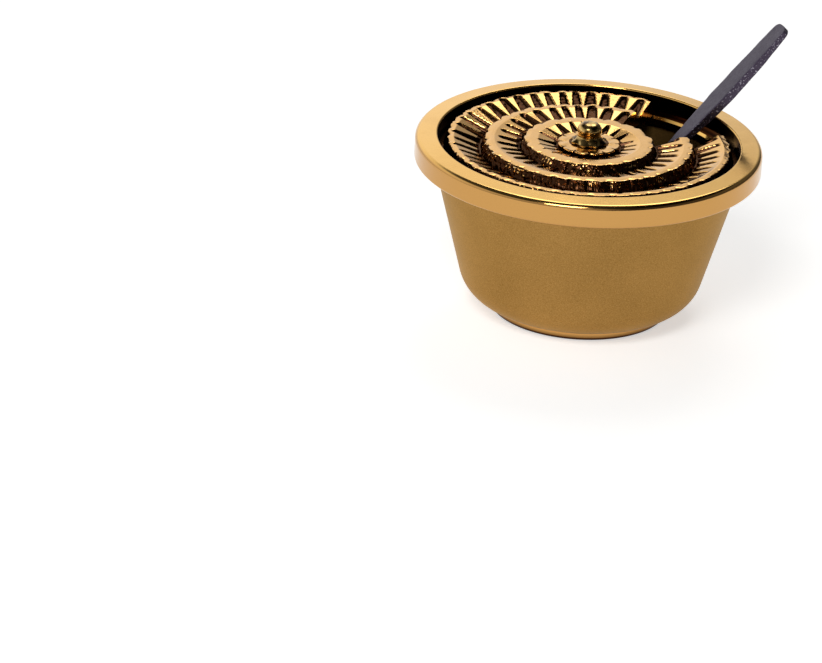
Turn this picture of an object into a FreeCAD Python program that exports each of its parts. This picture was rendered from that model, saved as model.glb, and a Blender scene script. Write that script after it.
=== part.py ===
import FreeCAD, Part
import math
import os
import Sketcher
from FreeCAD import Placement, Rotation, Vector

# Incense boat: a lidded bowl with a polished collar and foot, a stepped fluted lid
# with one opening, and a spoon that leans through the opening on the rim.
# Millimetres, +Z up, origin at the middle of the foot's resting plane.

doc = FreeCAD.newDocument("IncenseBoat")
sheet = doc.addObject("Spreadsheet::Sheet", "Sizes")

DRIVING_SIZES = [
    ("rim_diameter", "102", "outside of the collar"),
    ("rim_height", "52.5", "outer edge of the collar's top face above the table"),
    ("collar_height", "6.8", "depth of the collar's plain band"),
    ("collar_fall", "0.6", "how far the top face falls from mouth to outer edge"),
    ("collar_round", "1.5", "rounding of the collar's outer top edge"),
    ("collar_lower_round", "0.7", "rounding of the collar's outer lower edge"),
    ("collar_face_width", "6.6", "collar's top face from the bore to the outer edge"),
    ("mouth_round", "0.5", "rounding of the bore's upper edge"),
    ("recess_depth", "6.1", "from the bore's upper edge down to the lid's ledge"),
    ("ledge_width", "2.4", "width of the ledge that carries the lid"),
    ("spigot_height", "2", "part of the collar that reaches into the bowl"),
    ("solder_gap", "0.15", "all round the spigot"),
    ("collar_overhang", "5.6", "how far the collar stands out beyond the bowl's top"),
    ("bowl_taper", "0.275", "radius lost for each millimetre down the wall"),
    ("bowl_wall", "1.6", "thickness of the bowl's side"),
    ("bowl_floor", "2", "thickness of the bowl's bottom"),
    ("bowl_round", "11.8", "outside rounding from the side to the bottom"),
    ("foot_inset", "7.22", "how far the foot stands back from the wall's line at the bottom"),
    ("foot_width", "4.6", "width of the foot ring"),
    ("foot_height", "2.5", "height of the foot ring"),
    ("foot_round", "0.9", "rounding of the foot's outer lower edge"),
    ("lid_gap", "0.4", "between the lid's flange and the bore"),
    ("flange_height", "1.2", "thickness of the lid's flange on the ledge"),
    ("moat_width", "2.4", "gap in plan between the bore and the outer crest"),
    ("outer_crest_height", "5.2", "outer crest above the ledge"),
    ("outer_band", "2.4", "plain band on the outer crest"),
    ("outer_inner_height", "2.4", "outer tier's surface where it meets the middle tier"),
    ("plate_seat_height", "1.6", "seat of the middle tier above the ledge"),
    ("middle_crest_diameter", "62.2", "highest edge of the middle tier"),
    ("middle_crest_height", "5.2", "middle crest above the ledge"),
    ("middle_band", "3.4", "plain band on the middle crest"),
    ("middle_inner_height", "3.8", "middle tier's surface where it meets the inner tier"),
    ("middle_seat_height", "2.6", "seat of the inner tier above the ledge"),
    ("inner_crest_diameter", "39", "highest edge of the inner tier"),
    ("inner_crest_height", "5.6", "inner crest above the ledge"),
    ("inner_band", "4.6", "plain band on the inner crest"),
    ("inner_inner_height", "4.1", "inner tier's surface where it meets the boss"),
    ("inner_seat_height", "3.6", "seat of the boss above the ledge"),
    ("tier_draft", "0.8", "how far a tier's foot stands out beyond its crest"),
    ("tier_gap", "0.3", "between a tier's foot and the step it sits in"),
    ("flute_depth", "0.9", "flutes' floor below the tier's surface at its inner end"),
    ("outer_flutes", "50", "number of flutes round the outer tier"),
    ("middle_flutes", "36", "number of flutes round the middle tier"),
    ("inner_flutes", "22", "number of flutes round the inner tier"),
    ("outer_flute_width", "2.5", "width of a flute in the outer tier"),
    ("middle_flute_width", "2.2", "width of a flute in the middle tier"),
    ("inner_flute_width", "1.5", "width of a flute in the inner tier"),
    ("scallop_depth", "0.5", "depth of the notches between the lobes of a crest"),
    ("opening_start_angle", "15.8", "bearing of the opening's first side, degrees"),
    ("opening_angle", "46.5", "angle between the opening's two sides, degrees"),
    ("boss_diameter", "18.4", "scalloped boss under the finial"),
    ("boss_height", "1.5", "thickness of the boss"),
    ("boss_lobes", "12", "number of lobes round the boss"),
    ("finial_base_diameter", "11", "flared base of the finial"),
    ("finial_neck_diameter", "5.4", "neck of the finial"),
    ("finial_base_height", "2.2", "height of the flared base"),
    ("finial_bud_diameter", "6.4", "bud of the finial"),
    ("finial_bud_height", "4.6", "height of the bud"),
    ("finial_bud_sink", "0.6", "how far the bud runs into its base"),
    ("finial_lobes", "8", "number of facets round the flared base"),
    ("stud_diameter", "4", "threaded stud that clamps the lid together"),
    ("stud_engagement", "3.2", "length of the stud inside the finial"),
    ("stud_projection", "1.2", "length of the stud below the nut"),
    ("thread_gap", "0.05", "all round the stud in its nut and in the finial"),
    ("clearance_gap", "0.25", "all round the stud in the lid's castings"),
    ("washer_diameter", "9", "washer under the lid"),
    ("washer_thickness", "0.8", "thickness of the washer"),
    ("nut_across_flats", "7", "hexagon of the nut"),
    ("nut_height", "3.2", "height of the nut"),
    ("spoon_bearing_angle", "25", "direction from +X in which the spoon leans, degrees"),
    ("spoon_slope_angle", "45", "steepness of the spoon, degrees"),
    ("spoon_contact_angle", "34.6", "bearing of the spoon's place on the mouth, degrees"),
    ("spoon_rest_gap", "0.45", "between the spoon and what it leans on"),
    ("handle_length", "79", "flat bar of the spoon"),
    ("handle_root_width", "3.6", "width of the bar at the spoon's bowl"),
    ("handle_shoulder", "46", "from the bar's root to its widest place"),
    ("handle_shoulder_width", "6.4", "width of the bar at its widest place"),
    ("handle_tip_width", "5.5", "width of the bar at its free end"),
    ("handle_belly_start", "30", "from the bar's root to where its underside swells"),
    ("handle_belly", "1.3", "how far the underside swells below the flat bar"),
    ("handle_thickness", "1.9", "thickness of the bar"),
    ("handle_tip_round", "1.9", "rounding of the bar's free corners"),
    ("dish_length", "24", "length of the spoon's bowl"),
    ("dish_width", "15", "width of the spoon's bowl"),
    ("dish_depth", "3.6", "depth of the spoon's bowl"),
    ("dish_wall", "0.9", "thickness of the spoon's bowl"),
    ("tab_length", "7", "tongue of the spoon's bowl under the bar"),
    ("tab_inset", "1.2", "how much narrower the tongue is than the bar"),
]

for row, (alias, value, meaning) in enumerate(DRIVING_SIZES, start=1):
    sheet.set(f"A{row}", meaning)
    sheet.set(f"B{row}", value)
    sheet.setAlias(f"B{row}", alias)
doc.recompute()


def size(expression):
    """Number that an expression on the sheet's sizes stands for now."""
    result = sheet.evalExpression(expression.replace("Sizes.", ""))
    return float(getattr(result, "Value", result))


# Lengths that several pieces share, each written once as an expression on the sheet.
rim_radius = "Sizes.rim_diameter / 2"
mouth_radius = f"({rim_radius} - Sizes.collar_face_width)"
mouth_top = "(Sizes.rim_height + Sizes.collar_fall)"
ledge_level = f"({mouth_top} - Sizes.recess_depth)"
ledge_radius = f"({mouth_radius} - Sizes.ledge_width)"
collar_bottom = "(Sizes.rim_height - Sizes.collar_height)"
bowl_top_radius = f"({rim_radius} - Sizes.collar_overhang)"
wall_drop = f"({collar_bottom} - Sizes.foot_height)"
bowl_base = f"({bowl_top_radius} - Sizes.bowl_taper * {wall_drop})"
foot_radius = f"({bowl_base} - Sizes.foot_inset)"
floor_level = "(Sizes.foot_height + Sizes.bowl_floor)"
flange_radius = f"({mouth_radius} - Sizes.lid_gap)"
hole_radius = "(Sizes.stud_diameter / 2 + Sizes.clearance_gap)"
thread_radius = "(Sizes.stud_diameter / 2 + Sizes.thread_gap)"
crest_radii = {
    "outer": f"({mouth_radius} - Sizes.moat_width)",
    "middle": "(Sizes.middle_crest_diameter / 2)",
    "inner": "(Sizes.inner_crest_diameter / 2)",
}
middle_foot_radius = f"({crest_radii['middle']} + Sizes.tier_draft)"
inner_foot_radius = f"({crest_radii['inner']} + Sizes.tier_draft)"
boss_seat = f"({ledge_level} + Sizes.inner_seat_height)"
seat_levels = {
    "outer": f"({ledge_level} + Sizes.plate_seat_height)",
    "middle": f"({ledge_level} + Sizes.middle_seat_height)",
    "inner": boss_seat,
}
boss_top = f"({boss_seat} + Sizes.boss_height)"


def new_body(label):
    body = doc.addObject("PartDesign::Body", label)
    body.Label = label
    return body


def new_sketch(body, name, role, lift=None):
    """Sketch on one of the body's own origin planes, raised by an expression."""
    plane = next(item for item in body.Origin.OriginFeatures if item.Role == role)
    sketch = body.newObject("Sketcher::SketchObject", name)
    sketch.AttachmentSupport = [(plane, "")]
    sketch.MapMode = "FlatFace"
    if lift:
        sketch.setExpression("AttachmentOffset.Base.z", lift)
    return sketch


def hold(sketch, kind, geometry, point, expression, name):
    """Ties one coordinate of a sketch point to an expression, or to the axis if it is 0."""
    if expression == "0":
        axis = -2 if kind == "DistanceX" else -1
        sketch.addConstraint(Sketcher.Constraint("PointOnObject", geometry, point, axis))
        return
    value = size(expression)
    index = sketch.addConstraint(Sketcher.Constraint(kind, -1, 1, geometry, point, value))
    sketch.renameConstraint(index, name)
    sketch.setExpression(f"Constraints.{name}", expression)


def draw_outline(sketch, corners):
    """Closed outline of straight lines through corners given as pairs of expressions."""
    places = [Vector(size(across), size(up), 0) for across, up in corners]
    count = len(places)
    for index in range(count):
        sketch.addGeometry(Part.LineSegment(places[index], places[(index + 1) % count]), False)
    for index in range(count):
        following = (index + 1) % count
        sketch.addConstraint(Sketcher.Constraint("Coincident", index, 2, following, 1))
    for index, (across, up) in enumerate(corners):
        hold(sketch, "DistanceX", index, 1, across, f"across{index}")
        hold(sketch, "DistanceY", index, 1, up, f"up{index}")


def turned(body, name, corners):
    """Solid of revolution about Z from an outline of radii and heights."""
    sketch = new_sketch(body, name + "Outline", "XZ_Plane")
    draw_outline(sketch, corners)
    feature = body.newObject("PartDesign::Revolution", name)
    feature.Profile = sketch
    feature.ReferenceAxis = (sketch, ["V_Axis"])
    feature.Angle = 360
    doc.recompute()
    return feature


def ring_edges(feature, radius, height):
    """Names of the feature's round edges of this radius at this height."""
    names = []
    for number, edge in enumerate(feature.Shape.Edges, start=1):
        curve = edge.Curve
        if not isinstance(curve, Part.Circle):
            continue
        if abs(curve.Radius - size(radius)) < 1e-4 and abs(curve.Center.z - size(height)) < 1e-4:
            names.append(f"Edge{number}")
    if not names:
        raise RuntimeError(f"{feature.Name} has no round edge at {radius}, {height}")
    return names


def rounded(body, name, edges, radius):
    """Fillet on the body's last feature."""
    base = body.Tip
    fillet = body.newObject("PartDesign::Fillet", name)
    fillet.Base = (base, edges)
    fillet.setExpression("Radius", radius)
    doc.recompute()
    return fillet


def removed(body, feature, before):
    """Checks that a cutting feature took material away."""
    doc.recompute()
    if not feature.Shape.Volume < before - 1e-3:
        raise RuntimeError(f"{feature.Name} cut nothing from {body.Label}")


def cut_down(body, name, sketch, depth):
    """Pocket from the sketch downwards by an expression."""
    before = body.Shape.Volume
    pocket = body.newObject("PartDesign::Pocket", name)
    pocket.Profile = sketch
    pocket.setExpression("Length", depth)
    removed(body, pocket, before)
    return pocket


def repeated(body, name, features, sketch, count):
    """The features again, evenly round Z."""
    before = body.Shape.Volume
    pattern = body.newObject("PartDesign::PolarPattern", name)
    pattern.Originals = features
    pattern.Axis = (sketch, ["N_Axis"])
    pattern.Angle = 360
    pattern.setExpression("Occurrences", count)
    body.Tip = pattern
    removed(body, pattern, before)
    return pattern


def draw_flute(sketch, inner, outer, width):
    """Round-ended slot along X between two radii measured to its rounded ends."""
    half = f"{width} / 2"
    start, end = size(f"{inner} + {half}"), size(f"{outer} - {half}")
    radius = size(half)
    quarter = math.pi / 2
    normal = Vector(0, 0, 1)
    near = Part.ArcOfCircle(Part.Circle(Vector(start, 0, 0), normal, radius), quarter, 3 * quarter)
    far = Part.ArcOfCircle(Part.Circle(Vector(end, 0, 0), normal, radius), -quarter, quarter)
    upper = Part.LineSegment(Vector(end, radius, 0), Vector(start, radius, 0))
    lower = Part.LineSegment(Vector(start, -radius, 0), Vector(end, -radius, 0))
    for curve in (near, lower, far, upper):
        sketch.addGeometry(curve, False)
    sketch.addConstraint(Sketcher.Constraint("Tangent", 0, 2, 1, 1))
    sketch.addConstraint(Sketcher.Constraint("Tangent", 1, 2, 2, 1))
    sketch.addConstraint(Sketcher.Constraint("Tangent", 2, 2, 3, 1))
    sketch.addConstraint(Sketcher.Constraint("Tangent", 3, 2, 0, 1))
    sketch.addConstraint(Sketcher.Constraint("Horizontal", 1))
    hold(sketch, "DistanceY", 0, 3, "0", "level")
    hold(sketch, "DistanceX", 0, 3, f"{inner} + {half}", "start")
    hold(sketch, "DistanceX", 2, 3, f"{outer} - {half}", "end")
    index = sketch.addConstraint(Sketcher.Constraint("Radius", 0, radius))
    sketch.renameConstraint(index, "half")
    sketch.setExpression("Constraints.half", half)


def draw_notch(sketch, radius, bearing, notch_radius):
    """Circle at a radius and bearing, for the notch between two lobes."""
    across = f"{radius} * cos({bearing})"
    along = f"{radius} * sin({bearing})"
    centre = Vector(size(across), size(along), 0)
    sketch.addGeometry(Part.Circle(centre, Vector(0, 0, 1), size(notch_radius)), False)
    hold(sketch, "DistanceX", 0, 3, across, "across")
    hold(sketch, "DistanceY", 0, 3, along, "along")
    index = sketch.addConstraint(Sketcher.Constraint("Radius", 0, size(notch_radius)))
    sketch.renameConstraint(index, "notch")
    sketch.setExpression("Constraints.notch", notch_radius)


def cut_lobes(body, edge_radius, top, bottom, count, others=()):
    """Notches that leave lobes round an edge, repeated together with other cuts."""
    notch_radius = "(2 * Sizes.scallop_depth)"
    notch = new_sketch(body, "Notch", "XY_Plane", top)
    centre = f"({edge_radius} - Sizes.scallop_depth + {notch_radius})"
    draw_notch(notch, centre, f"180 / {count}", notch_radius)
    notch_cut = cut_down(body, "NotchCut", notch, f"{top} - {bottom}")
    repeated(body, "LobeRing", [*others, notch_cut], notch, count)


def cut_opening(body, bottom, top):
    """The spoon's opening: a sector from the inner tier outwards, from bearing 0."""
    before = body.Shape.Volume
    sketch = new_sketch(body, "Opening", "XZ_Plane")
    far = "(Sizes.rim_diameter / 2)"
    near = inner_foot_radius
    draw_outline(sketch, [(near, bottom), (far, bottom), (far, top), (near, top)])
    groove = body.newObject("PartDesign::Groove", "OpeningCut")
    groove.Profile = sketch
    groove.ReferenceAxis = (sketch, ["V_Axis"])
    groove.setExpression("Angle", "Sizes.opening_angle")
    removed(body, groove, before)
    middle = math.radians(size("Sizes.opening_angle") / 2)
    reach = (size(near) + size(flange_radius)) / 2
    probe = Vector(reach * math.cos(middle), reach * math.sin(middle), (size(bottom) + size(top)) / 2)
    if Part.Vertex(probe).distToShape(body.Shape)[0] < 1:
        groove.Reversed = True
        removed(body, groove, before)


def turn_to_opening(body):
    """Turns a lid casting so that its opening starts at its bearing."""
    body.Placement = Placement(Vector(), Rotation(Vector(0, 0, 1), size("Sizes.opening_start_angle")))
    body.setExpression("Placement.Rotation.Angle", "Sizes.opening_start_angle")
    doc.recompute()


# Foot ring, polished, soldered flat under the bowl.
foot_ring = new_body("foot_ring")
foot_inner = f"({foot_radius} - Sizes.foot_width)"
foot_turned = turned(foot_ring, "FootTurned", [
    (foot_inner, "0"),
    (foot_radius, "0"),
    (foot_radius, "Sizes.foot_height"),
    (foot_inner, "Sizes.foot_height"),
])
rounded(foot_ring, "FootEdge", ring_edges(foot_turned, foot_radius, "0"), "Sizes.foot_round")

# Bowl, a straight cone with a large rounding into a flat bottom, satin finished.
bowl_shell = new_body("bowl_shell")
cavity_drop = f"({collar_bottom} - {floor_level})"
cavity_top = f"({bowl_top_radius} - Sizes.bowl_wall)"
cavity_base = f"({cavity_top} - Sizes.bowl_taper * {cavity_drop})"
bowl_turned = turned(bowl_shell, "BowlTurned", [
    ("0", "Sizes.foot_height"),
    (bowl_base, "Sizes.foot_height"),
    (bowl_top_radius, collar_bottom),
    (cavity_top, collar_bottom),
    (cavity_base, floor_level),
    ("0", floor_level),
])
inner_rounding = rounded(
    bowl_shell,
    "BowlInnerRound",
    ring_edges(bowl_turned, cavity_base, floor_level),
    "Sizes.bowl_round - Sizes.bowl_wall",
)
rounded(
    bowl_shell,
    "BowlOuterRound",
    ring_edges(inner_rounding, bowl_base, "Sizes.foot_height"),
    "Sizes.bowl_round",
)

# Collar, polished: plain band, fallen top face, bore for the lid, ledge and spigot.
rim_collar = new_body("rim_collar")
spigot_top = f"({cavity_top} - Sizes.solder_gap)"
spigot_base = f"({spigot_top} - Sizes.bowl_taper * Sizes.spigot_height)"
collar_turned = turned(rim_collar, "CollarTurned", [
    (ledge_radius, f"{collar_bottom} - Sizes.spigot_height"),
    (spigot_base, f"{collar_bottom} - Sizes.spigot_height"),
    (spigot_top, collar_bottom),
    (rim_radius, collar_bottom),
    (rim_radius, "Sizes.rim_height"),
    (mouth_radius, mouth_top),
    (mouth_radius, ledge_level),
    (ledge_radius, ledge_level),
])
outer_top_edge = ring_edges(collar_turned, rim_radius, "Sizes.rim_height")
outer_edge = rounded(rim_collar, "CollarOuterRound", outer_top_edge, "Sizes.collar_round")
lower_edge = ring_edges(outer_edge, rim_radius, collar_bottom)
band_edge = rounded(rim_collar, "CollarLowerRound", lower_edge, "Sizes.collar_lower_round")
mouth_edge = ring_edges(band_edge, mouth_radius, mouth_top)
rounded(rim_collar, "CollarMouthRound", mouth_edge, "Sizes.mouth_round")


def lid_tier(label, tier, base, foot_corners, notch_bottom, step_radius):
    """Lid casting: a crest with a plain band, a fluted face that falls inward, a seat.

    base is its underside, foot_corners its outline from the underside up to the crest, and
    step_radius the step that holds the next piece.
    """
    crest_radius = crest_radii[tier]
    crest_level = f"({ledge_level} + Sizes.{tier}_crest_height)"
    inner_level = f"({ledge_level} + Sizes.{tier}_inner_height)"
    seat_level = seat_levels[tier]
    band_radius = f"({crest_radius} - Sizes.{tier}_band)"
    width = f"Sizes.{tier}_flute_width"
    body = new_body(label)
    turned(body, "CastingTurned", [
        (hole_radius, base),
        *foot_corners,
        (crest_radius, crest_level),
        (band_radius, crest_level),
        (step_radius, inner_level),
        (step_radius, seat_level),
        (hole_radius, seat_level),
    ])
    flute = new_sketch(body, "Flute", "XY_Plane", crest_level)
    draw_flute(flute, f"{step_radius} - {width} / 2", band_radius, width)
    flute_cut = cut_down(body, "FluteCut", flute, f"{crest_level} - {inner_level} + Sizes.flute_depth")
    cut_lobes(body, crest_radius, crest_level, notch_bottom, f"Sizes.{tier}_flutes", [flute_cut])
    return body


boss_radius = "Sizes.boss_diameter / 2"
flange_top = f"({ledge_level} + Sizes.flange_height)"

# Outer tier, the lid's base casting: its flange rests on the collar's ledge.
lid_plate = lid_tier(
    "lid_plate",
    "outer",
    ledge_level,
    [
        (flange_radius, ledge_level),
        (flange_radius, flange_top),
        (f"{crest_radii['outer']} + Sizes.tier_draft", flange_top),
    ],
    flange_top,
    f"({middle_foot_radius} + Sizes.tier_gap)",
)
cut_opening(lid_plate, ledge_level, f"{ledge_level} + Sizes.outer_crest_height")
turn_to_opening(lid_plate)

# Middle tier, seated in the outer tier's step, with the same opening.
middle_tier = lid_tier(
    "middle_tier",
    "middle",
    seat_levels["outer"],
    [(middle_foot_radius, seat_levels["outer"])],
    seat_levels["outer"],
    f"({inner_foot_radius} + Sizes.tier_gap)",
)
cut_opening(middle_tier, seat_levels["outer"], f"{ledge_level} + Sizes.middle_crest_height")
turn_to_opening(middle_tier)

# Inner tier, a whole disc seated in the middle tier's step.
inner_tier = lid_tier(
    "inner_tier",
    "inner",
    seat_levels["middle"],
    [(inner_foot_radius, seat_levels["middle"])],
    seat_levels["middle"],
    f"({boss_radius} + Sizes.tier_gap)",
)
turn_to_opening(inner_tier)

# Boss, a small scalloped disc that carries the finial.
finial_boss = new_body("finial_boss")
turned(finial_boss, "BossTurned", [
    (hole_radius, boss_seat),
    (boss_radius, boss_seat),
    (boss_radius, boss_top),
    (hole_radius, boss_top),
])
cut_lobes(finial_boss, boss_radius, boss_top, boss_seat, "Sizes.boss_lobes")

# Finial, a bud on a flared and faceted base, screwed on the stud.
finial_knob = new_body("finial_knob")
finial_radius = "Sizes.finial_base_diameter / 2"
flare_top = f"({boss_top} + Sizes.finial_base_height)"
turned(finial_knob, "Flare", [
    ("0", boss_top),
    (finial_radius, boss_top),
    (finial_radius, f"{boss_top} + Sizes.finial_base_height / 4"),
    ("Sizes.finial_neck_diameter / 2", flare_top),
    ("0", flare_top),
])
cut_lobes(finial_knob, finial_radius, flare_top, boss_top, "Sizes.finial_lobes")


def add_ellipsoid(body, name, kind, level, upright, lengthwise, sidewise):
    """Ellipsoid centred on Z at a level, added to the body or taken away from it."""
    plane = next(item for item in body.Origin.OriginFeatures if item.Role == "XY_Plane")
    ellipsoid = body.newObject(f"PartDesign::{kind}Ellipsoid", name)
    ellipsoid.AttachmentSupport = [(plane, "")]
    ellipsoid.MapMode = "FlatFace"
    if level != "0":
        ellipsoid.setExpression("AttachmentOffset.Base.z", level)
    ellipsoid.setExpression("Radius1", upright)
    ellipsoid.setExpression("Radius2", lengthwise)
    ellipsoid.setExpression("Radius3", sidewise)
    doc.recompute()
    return ellipsoid


bud_half = "(Sizes.finial_bud_height / 2)"
bud_level = f"{flare_top} - Sizes.finial_bud_sink + {bud_half}"
bud_radius = "Sizes.finial_bud_diameter / 2"
add_ellipsoid(finial_knob, "Bud", "Additive", bud_level, bud_half, bud_radius, bud_radius)
socket = new_sketch(finial_knob, "Socket", "XY_Plane", f"{boss_top} + Sizes.stud_engagement")
socket.addGeometry(Part.Circle(Vector(), Vector(0, 0, 1), size(thread_radius)), False)
socket.addConstraint(Sketcher.Constraint("Coincident", 0, 3, -1, 1))
socket_size = socket.addConstraint(Sketcher.Constraint("Radius", 0, size(thread_radius)))
socket.setExpression(f"Constraints[{socket_size}]", thread_radius)
cut_down(finial_knob, "SocketCut", socket, "Sizes.stud_engagement")

# Washer, nut and stud that clamp the lid's castings from below.
washer_bottom = f"({ledge_level} - Sizes.washer_thickness)"
nut_bottom = f"({washer_bottom} - Sizes.nut_height)"
stud_washer = new_body("stud_washer")
turned(stud_washer, "WasherTurned", [
    (hole_radius, washer_bottom),
    ("Sizes.washer_diameter / 2", washer_bottom),
    ("Sizes.washer_diameter / 2", ledge_level),
    (hole_radius, ledge_level),
])

finial_stud = new_body("finial_stud")
stud_bottom = f"({nut_bottom} - Sizes.stud_projection)"
stud_top = f"({boss_top} + Sizes.stud_engagement - Sizes.tier_gap)"
turned(finial_stud, "StudTurned", [
    ("0", stud_bottom),
    ("Sizes.stud_diameter / 2", stud_bottom),
    ("Sizes.stud_diameter / 2", stud_top),
    ("0", stud_top),
])

stud_nut = new_body("stud_nut")
hexagon = new_sketch(stud_nut, "Hexagon", "XY_Plane", nut_bottom)
draw_outline(hexagon, [
    (
        f"Sizes.nut_across_flats / 2 / cos(30) * cos({bearing})",
        f"Sizes.nut_across_flats / 2 / cos(30) * sin({bearing})",
    )
    for bearing in range(15, 375, 60)
])
hexagon.addGeometry(Part.Circle(Vector(), Vector(0, 0, 1), size(thread_radius)), False)
thread_circle = hexagon.GeometryCount - 1
hexagon.addConstraint(Sketcher.Constraint("Coincident", thread_circle, 3, -1, 1))
thread_size = hexagon.addConstraint(Sketcher.Constraint("Radius", thread_circle, size(thread_radius)))
hexagon.setExpression(f"Constraints[{thread_size}]", thread_radius)
nut_pad = stud_nut.newObject("PartDesign::Pad", "NutPad")
nut_pad.Profile = hexagon
nut_pad.setExpression("Length", "Sizes.nut_height")
doc.recompute()

# Spoon: a bar on the tongue of an oval dish, flat on top, with an underside that swells
# in one long arc. Its own X runs up the bar from the dish's middle, and its own Z is
# square to the bar's broad face.
spoon_handle = new_body("spoon_handle")
bar = new_sketch(spoon_handle, "Bar", "XY_Plane", "-Sizes.handle_belly")
bar_root = "(Sizes.dish_length / 2 - Sizes.dish_wall / 2)"
bar_shoulder = f"({bar_root} + Sizes.handle_shoulder)"
bar_tip = f"({bar_root} + Sizes.handle_length)"
draw_outline(bar, [
    (bar_root, "-Sizes.handle_root_width / 2"),
    (bar_shoulder, "-Sizes.handle_shoulder_width / 2"),
    (bar_tip, "-Sizes.handle_tip_width / 2"),
    (bar_tip, "Sizes.handle_tip_width / 2"),
    (bar_shoulder, "Sizes.handle_shoulder_width / 2"),
    (bar_root, "Sizes.handle_root_width / 2"),
])
bar_pad = spoon_handle.newObject("PartDesign::Pad", "BarPad")
bar_pad.Profile = bar
bar_pad.setExpression("Length", "Sizes.handle_thickness + Sizes.handle_belly")
doc.recompute()
tip_edges = [
    f"Edge{number}"
    for number, edge in enumerate(bar_pad.Shape.Edges, start=1)
    if edge.BoundBox.XMin > size(bar_tip) - 1e-4 and edge.BoundBox.ZLength > 1e-4
]
rounded(spoon_handle, "TipRound", tip_edges, "Sizes.handle_tip_round")

# The stock below the swollen underside is cut away: a flat run from the root, then an arc
# whose chord is the flat bar's underside and whose height is the belly.
belly_start = f"({bar_root} + Sizes.handle_belly_start)"
belly_half = f"(({bar_tip} - {belly_start}) / 2)"
belly_middle = f"(({bar_tip} + {belly_start}) / 2)"
belly_radius = f"(({belly_half}^2 + Sizes.handle_belly^2) / (2 * Sizes.handle_belly))"
stock_bottom = "-2 * Sizes.handle_belly"
beyond_tip = f"({bar_tip} + Sizes.handle_belly)"
below = new_sketch(spoon_handle, "BelowBar", "XZ_Plane")
belly_places = [(belly_start, "0"), (belly_middle, "-Sizes.handle_belly"), (bar_tip, "0")]
below.addGeometry(Part.Arc(*(Vector(size(across), size(up), 0) for across, up in belly_places)), False)
stock_corners = [
    (bar_tip, "0"),
    (beyond_tip, "0"),
    (beyond_tip, stock_bottom),
    ("0", stock_bottom),
    ("0", "0"),
    (belly_start, "0"),
]
stock_places = [Vector(size(across), size(up), 0) for across, up in stock_corners]
for index in range(len(stock_places) - 1):
    below.addGeometry(Part.LineSegment(stock_places[index], stock_places[index + 1]), False)
    if index:
        below.addConstraint(Sketcher.Constraint("Coincident", index, 2, index + 1, 1))
    hold(below, "DistanceX", index + 1, 1, stock_corners[index][0], f"stock_across{index}")
    hold(below, "DistanceY", index + 1, 1, stock_corners[index][1], f"stock_up{index}")
last_line = len(stock_places) - 1
hold(below, "DistanceX", last_line, 2, belly_start, "belly_across")
hold(below, "DistanceY", last_line, 2, "0", "belly_up")
arc_start, arc_end = (1, 2) if below.getPoint(0, 1).x < below.getPoint(0, 2).x else (2, 1)
below.addConstraint(Sketcher.Constraint("Coincident", 0, arc_end, 1, 1))
below.addConstraint(Sketcher.Constraint("Coincident", 0, arc_start, last_line, 2))
arc_size = below.addConstraint(Sketcher.Constraint("Radius", 0, size(belly_radius)))
below.setExpression(f"Constraints[{arc_size}]", belly_radius)
full_bar = spoon_handle.Shape.Volume
below_cut = spoon_handle.newObject("PartDesign::Pocket", "BelowBarCut")
below_cut.Profile = below
below_cut.Midplane = True
below_cut.setExpression("Length", "2 * Sizes.handle_shoulder_width")
removed(spoon_handle, below_cut, full_bar)

spoon_bowl = new_body("spoon_bowl")
half_length = "Sizes.dish_length / 2"
half_width = "Sizes.dish_width / 2"
dish = add_ellipsoid(
    spoon_bowl, "Dish", "Additive", "0", "Sizes.dish_depth", half_length, half_width
)
dish.Angle2 = 0
doc.recompute()
tongue = new_sketch(spoon_bowl, "Tongue", "XY_Plane", "-Sizes.dish_wall")
tongue_root = f"({half_length} - Sizes.dish_wall)"
tongue_end = f"({half_length} + Sizes.tab_length)"
tongue_half = "(Sizes.handle_root_width / 2 - Sizes.tab_inset / 2)"
draw_outline(tongue, [
    (tongue_root, f"-{tongue_half}"),
    (tongue_end, f"-{tongue_half}"),
    (tongue_end, tongue_half),
    (tongue_root, tongue_half),
])
tongue_pad = spoon_bowl.newObject("PartDesign::Pad", "TonguePad")
tongue_pad.Profile = tongue
tongue_pad.setExpression("Length", "Sizes.dish_wall")
doc.recompute()
full_dish = spoon_bowl.Shape.Volume
hollow = add_ellipsoid(
    spoon_bowl,
    "Hollow",
    "Subtractive",
    "0",
    "Sizes.dish_depth - Sizes.dish_wall",
    f"{half_length} - Sizes.dish_wall",
    f"{half_width} - Sizes.dish_wall",
)
removed(spoon_bowl, hollow, full_dish)

# The dish rests on the bowl's floor and the bar's swollen underside leans on the mouth's
# edge: swell is how deep the arc of the underside is there.
elevation = math.radians(size("Sizes.spoon_slope_angle"))
bearing = math.radians(size("Sizes.spoon_bearing_angle"))
contact_bearing = math.radians(size("Sizes.spoon_contact_angle"))
along_bar = Vector(
    math.cos(elevation) * math.cos(bearing),
    math.cos(elevation) * math.sin(bearing),
    math.sin(elevation),
)
off_bar = Vector(
    -math.sin(elevation) * math.cos(bearing),
    -math.sin(elevation) * math.sin(bearing),
    math.cos(elevation),
)
dish_reach = math.hypot(
    size(half_length) * math.sin(elevation), size("Sizes.dish_depth") * math.cos(elevation)
)
dish_level = size(f"{floor_level} + Sizes.spoon_rest_gap") + dish_reach
mouth_point = Vector(
    size(mouth_radius) * math.cos(contact_bearing),
    size(mouth_radius) * math.sin(contact_bearing),
    size(mouth_top),
)
contact_reach = (mouth_point.z - dish_level) / math.sin(elevation)
aside = contact_reach - size(belly_middle)
swell = size(f"Sizes.handle_belly - {belly_radius}") + math.sqrt(size(belly_radius) ** 2 - aside ** 2)
contact = mouth_point + off_bar * (size("Sizes.spoon_rest_gap") + swell)
dish_middle = contact - along_bar * ((contact.z - dish_level) / math.sin(elevation))
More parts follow.
